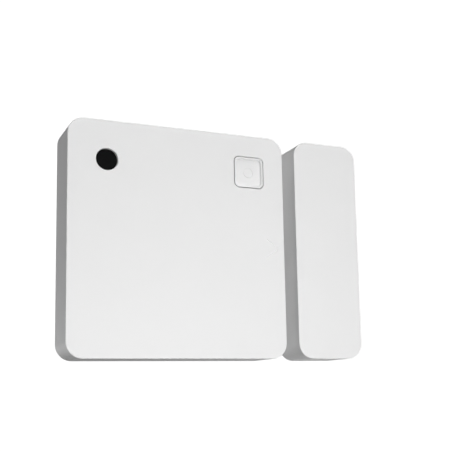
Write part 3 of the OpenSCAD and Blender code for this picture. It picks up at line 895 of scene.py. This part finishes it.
def build_negative_contact():
    """Spring plate with three round dimples that all but touch the cell's cap."""
    plate_t, dimple_gap, clear = 0.1, 4, 0.01
    back, front = depths("negative_contact")
    plate = loft(rounded(12, 4, 1), edges(front - plate_t, front, 0.03, 0), CELL)
    profile = [(0.3, back + clear), (0.48, back + 0.02), (0.58, back + 0.06), (0.6, front - 0.07)]
    dimples = [lathe(profile, (CELL[0] + dimple_gap * i, CELL[1]), 32) for i in (-1, 0, 1)]
    plate = combine(plate, join(*dimples), "UNION")
    add_piece("negative_contact_spring", plate, "contact_metal", "sensor_head", "negative_contact")


def build_cell_can():
    """Drawn can with a crimped rim and an engraved plus sign."""
    r, back, top = CELL_R, CELL_BACK, depths("cell_can")[1]
    sign_r, sign_w, sign_depth = 1.5, 0.28, 0.03
    profile = [(r - 0.45, back), (r - 0.22, back + 0.05), (r - 0.06, back + 0.2), (r, back + 0.42),
               (r, top - 0.5), (r - 0.03, top - 0.2), (r - 0.1, top - 0.06), (r - 0.2, top),
               (r - 0.34, top - 0.02), (r - 0.4, top - 0.12), (r - 0.4, top - 0.3),
               (r - CAN_T, top - 0.45), (r - CAN_T, back + 0.5), (r - 0.5, back + CAN_T)]
    bars = [soften(block((CELL[0] - x, -back - sign_depth, CELL[1] - z),
                         (CELL[0] + x, -back + PAST, CELL[1] + z)), 0.01, 1)
            for x, z in ((sign_r, sign_w), (sign_w, sign_r))]
    body = combine(lathe(profile, CELL, CELL_STEPS), combine(*bars, "UNION"), "DIFFERENCE")
    add_piece("cell_can_steel", body, "cell_steel", "coin_cell", "cell_can")


def build_cell_cap():
    """Cap with a raised rim round its flat middle."""
    r = size("cell_cap")[0] / 2
    skirt, front = depths("cell_cap")
    profile = [(r - CAN_T, skirt), (r, skirt + 0.05), (r, front - 0.4), (r - 0.08, front - 0.14),
               (r - 0.3, front), (r - 0.9, front), (r - 1.0, front - 0.03), (r - 1.2, front - 0.03)]
    hollow = [(r - CAN_T, skirt - 0.5), (r - CAN_T, front - CAN_T)]
    cap = combine(lathe(profile, CELL, CELL_STEPS), lathe(hollow, CELL, CELL_STEPS), "DIFFERENCE")
    add_piece("cell_cap_steel", cap, "cell_steel", "coin_cell", "cell_cap")


def build_cell_inside():
    """Stepped seal ring between the can and the cap, and the filling."""
    play, lip, edge_r = 0.02, 0.14, 0.06
    a, b = size("cell_cap")[0] / 2 + play, CELL_R - CAN_T - play
    back, front = depths("cell_seal")
    seal = ring([(a, back), (b, back), (b, front - 0.5), (b - lip, front - 0.32),
                 (b - lip, front - 0.03), (b - lip - edge_r, front), (a + edge_r, front),
                 (a, front - edge_r)], CELL, CELL_STEPS)
    add_piece("cell_seal_ring", seal, "seal_plastic", "coin_cell", "cell_seal")
    levels = edges(*depths("cell_filling"), 0.15, 0.15)
    pellet = loft(disc(size("cell_filling")[0] / 2), levels, CELL)
    add_piece("cell_filling_pellet", pellet, "cell_pellet", "coin_cell", "cell_filling")


# ---- Reed switch and magnet -------------------------------------------------

REED_NECK = 0.8


def tube(profile, x, y, steps=40):
    """Closed mesh of a (radius, z) profile turned about an upright axis at x, y."""
    bm = bmesh.new()
    return skin(bm, [[bm.verts.new((x + r * math.cos(a), y + r * math.sin(a), z))
                      for a in full_turn(steps)] for r, z in profile])


def reed_axis():
    """(x, y) of the reed switch's upright axis."""
    lo, hi = box_mm("reed_glass")
    return (lo.x + hi.x) / 2, (lo.y + hi.y) / 2


def both_ends(profile):
    """Profile of (radius, z) points at the upper end, and the same at the lower."""
    return [(r, -z) for r, z in profile] + [(r, z) for r, z in reversed(profile)]


def build_reed_glass():
    """Glass tube with drawn ends, hollow in the middle."""
    wire_r, bore_r = 0.21, 0.62
    lo, hi = box_mm("reed_glass")
    r, half = (hi.x - lo.x) / 2, hi.z
    neck = [(0.42, half), (0.55, half - 0.04), (0.7, half - 0.16), (0.82, half - 0.34),
            (r, half - 0.6)]
    bore = half - REED_NECK
    hollow = [(0.22, bore), (0.45, bore - 0.08), (0.58, bore - 0.25), (bore_r, bore - 0.5)]
    glass = tube(both_ends(neck), *reed_axis())
    glass = combine(glass, tube(both_ends(hollow), *reed_axis()), "DIFFERENCE")
    through = [(wire_r, -half - PAST), (wire_r, half + PAST)]
    glass = combine(glass, tube(through, *reed_axis(), 24), "DIFFERENCE")
    add_piece("reed_glass_tube", glass, "tube_glass", "sensor_head", "reed_glass")


def build_reed_metal():
    """Leads with their legs and solder, the fixed blade, and the moving blade."""
    wire_r, leg_w, leg_in, blade_w = 0.2, 0.8, 0.5, 0.9
    x, y = reed_axis()
    bore = box_mm("reed_glass")[1].z - REED_NECK
    end = box_mm("reed_leads")[1].z
    leg_z = end - leg_in
    front = depths("reed_leads")[1]
    bead = [(0.7, BOARD_FRONT - 0.01), (0.68, BOARD_FRONT + 0.05), (0.5, front - 0.03),
            (0.3, front)]
    parts, beads = [], []
    for s in (-1, 1):
        wire = tube([(wire_r, s * (bore - 0.05)), (wire_r, s * (end - 0.05)), (0.15, s * end)],
                    x, y, 24)
        leg = block((x - wire_r, -BOARD_FRONT, s * leg_z - leg_w / 2),
                    (x + wire_r, y, s * leg_z + leg_w / 2))
        parts.append(combine(wire, soften(leg, 0.05), "UNION"))
        beads.append(lathe(bead, (x, s * leg_z), 32))
    fixed = block((x - blade_w / 2, y - 0.13, -bore), (x + blade_w / 2, y - 0.01, 0.6))
    parts.append(soften(fixed, 0.03))
    add_piece("reed_leads_wires", join(*parts), "reed_metal", "sensor_head", "reed_leads")
    add_piece("reed_leads_solder", join(*beads), "reed_metal", "sensor_head", look="solder")
    blade = soften(block(*box_mm("reed_blade")), 0.03)
    add_piece("reed_blade_strip", blade, "reed_metal", "reed_contact", "reed_blade")


def build_bar_magnet():
    magnet = soften(block(*box_mm("bar_magnet")), 0.25, 4)
    add_piece("bar_magnet_block", magnet, "magnet_nickel", "magnet_unit", "bar_magnet")


# ---- Studio -----------------------------------------------------------------

# In metres.
STUDIO_CENTRE = Vector((0.008, -0.005, 0.0))
FLOOR_Z = -0.26
FLOOR_R = 0.9
BEND_R = 0.5
STAGE_STEPS = 72


def studio_white():
    """White that shines by itself, so that the backdrop needs no light of its own."""
    made = bpy.data.materials.new("studio_white")
    made.use_nodes = True
    shader = made.node_tree.nodes["Principled BSDF"]
    shader.inputs["Base Color"].default_value = (0.9, 0.9, 0.9, 1)
    shader.inputs["Emission Color"].default_value = (1, 1, 1, 1)
    shader.inputs["Emission Strength"].default_value = 1.0
    return made


def build_stage():
    """Pale floor that curves up into a round wall and a ceiling, far from everything."""
    tiny = 0.0001
    profile = [(tiny, 0), (FLOOR_R, 0)]
    for degrees in range(10, 91, 10):
        a = math.radians(degrees)
        profile.append((FLOOR_R + BEND_R * math.sin(a), BEND_R - BEND_R * math.cos(a)))
    profile += [(FLOOR_R + BEND_R, 1.6), (FLOOR_R, 2.2), (tiny, 2.3)]
    bm = tube([(r, FLOOR_Z + z) for r, z in profile], 0, 0, STAGE_STEPS)
    data = bpy.data.meshes.new("studio_floor")
    bm.to_mesh(data)
    bm.free()
    data.shade_smooth()
    data.materials.append(studio_white())
    o = bpy.data.objects.new("studio_floor", data)
    bpy.context.scene.collection.objects.link(o)
    o.visible_diffuse = False
    o.visible_glossy = False
    o.visible_shadow = False


def area_light(name, azimuth, elevation, distance, across, power):
    """Square soft light aimed at the object. Azimuth 0 is in front and 90 on the right.

    Distance and width are in metres, and the power is in watts.
    """
    a, e = math.radians(azimuth), math.radians(elevation)
    back = Vector((math.sin(a) * math.cos(e), -math.cos(a) * math.cos(e), math.sin(e)))
    data = bpy.data.lights.new(name, "AREA")
    data.size = across
    data.energy = power
    o = bpy.data.objects.new(name, data)
    o.location = STUDIO_CENTRE + back * distance
    o.rotation_mode = "QUATERNION"
    o.rotation_quaternion = back.to_track_quat("Z", "Y")
    o.visible_camera = False
    bpy.context.scene.collection.objects.link(o)


# Name, azimuth and elevation in degrees, distance and width in metres, and power in watts.
LIGHTS = (
    ("key_light", 110, 60, 0.45, 0.30, 0.35),
    ("top_light", 0, 60, 0.45, 0.30, 0.82),
    ("front_left_light", -35, 0, 0.45, 0.30, 0.31),
    ("front_light", 5, -15, 0.17, 0.12, 0.204),
    ("left_light", -110, 0, 0.45, 0.30, 0.18),
    ("low_right_light", 110, -41, 0.12, 0.06, 0.055),
    ("low_left_light", -130, -20, 0.11, 0.06, 0.025),
    ("back_light", 130, 20, 0.45, 0.30, 1.5),
)
AMBIENT = 0.04


def build_lights():
    """Area lights, and an even white glow from all around."""
    for row in LIGHTS:
        area_light(*row)
    world = bpy.data.worlds.new("studio_air")
    world.use_nodes = True
    background = world.node_tree.nodes["Background"]
    background.inputs["Color"].default_value = (1, 1, 1, 1)
    background.inputs["Strength"].default_value = AMBIENT
    bpy.context.scene.world = world
    bpy.context.scene.view_settings.view_transform = "Standard"


# The view fitted to the photograph: place in millimetres, directions, and lens and shift.
CAMERA_PLACE = Vector((-47.18, -139.68, -25.93))
CAMERA_RIGHT = Vector((0.9148, -0.4033, -0.0206))
CAMERA_FORWARD = Vector((0.4017, 0.9034, 0.1498))
LENS_MM = 68.03
SHIFT = (-0.0372, 0.0957)


def build_camera():
    """Camera low on the left, looking up and right at the two fronts."""
    data = bpy.data.cameras.new("camera")
    data.sensor_width = 36
    data.lens = LENS_MM
    data.shift_x, data.shift_y = SHIFT
    data.clip_start, data.clip_end = 0.005, 10
    o = bpy.data.objects.new("camera", data)
    forward = CAMERA_FORWARD.normalized()
    up = CAMERA_RIGHT.normalized().cross(forward).normalized()
    right = forward.cross(up)
    turn = Matrix((right, up, -forward)).transposed()
    o.matrix_world = Matrix.Translation(CAMERA_PLACE * MM) @ turn.to_4x4()
    bpy.context.scene.collection.objects.link(o)
    bpy.context.scene.camera = o


def build_object():
    """Every piece, from the outside in."""
    build_front_shell()
    build_button()
    build_window()
    build_magnet_shell()
    build_rear_cover()
    build_magnet_rear_cover()
    build_pad("adhesive_pad", corner=2, body="sensor_base")
    build_pad("magnet_adhesive_pad", corner=1.5, body="magnet_unit")
    build_board()
    build_copper()
    build_chips()
    build_crystals()
    build_two_ended("passive_parts", "passive_ceramic", cap=0.2)
    build_two_ended("chip_antenna", "antenna_ceramic", cap=0.5)
    build_led_and_sensor()
    build_tact_switch()
    build_cradle()
    build_positive_contact()
    build_negative_contact()
    build_cell_can()
    build_cell_cap()
    build_cell_inside()
    build_reed_glass()
    build_reed_metal()
    build_bar_magnet()


build_object()
build_stage()
build_lights()
build_camera()
